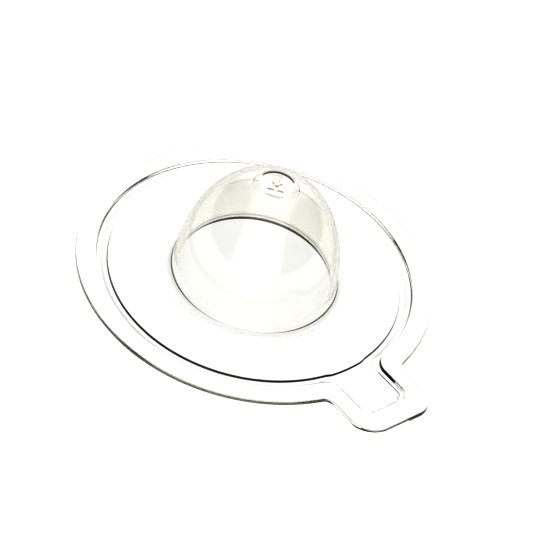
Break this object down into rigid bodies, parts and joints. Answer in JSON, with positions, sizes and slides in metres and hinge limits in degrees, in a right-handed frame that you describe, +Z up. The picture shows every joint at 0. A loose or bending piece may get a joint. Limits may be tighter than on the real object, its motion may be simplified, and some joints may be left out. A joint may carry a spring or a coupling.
{
  "type": "sink plunger",
  "caption": "Clear moulded sink plunger: a flat flanged disc with a sealing gutter, a tall push dome with a round thumb badge, and a lifting tab with a sunken tray.",
  "frame": {"origin": "centre of the disc, on the plane the sealing gutter rests on", "axes": "+Z up the dome's axis, +X through the middle of the grip tab"},
  "size_m": [0.184, 0.16, 0.0565],
  "materials": {
    "clear_sheet": "clear, glossy",
    "clear_dome": "clear, glossy, flexible",
    "clear_badge": "clear, embossed"
  },
  "bodies": {
    "disc": {"rim_flange": "clear_sheet", "seal_gutter": "clear_sheet", "web_plate": "clear_sheet", "dome_foot": "clear_sheet"},
    "crown": {"dome_wall": "clear_dome", "dome_crown": "clear_dome", "thumb_badge": "clear_badge"},
    "tab": {"tab_frame": "clear_sheet", "tab_tray": "clear_sheet"}
  },
  "joints": [
    {"name": "dome_press", "type": "slide", "parent": "disc", "child": "crown", "axis": [0, 0, -1], "range_m": [0, 0.025], "stiffness_N_per_m": 400, "deforming": ["dome_wall"]},
    {"name": "tab_lift", "type": "hinge", "parent": "disc", "child": "tab", "pos_m": [0.0683, 0, 0.0039], "axis": [0, -1, 0], "range_deg": [0, 45], "stiffness_Nm_per_rad": 0.03}
  ]
}
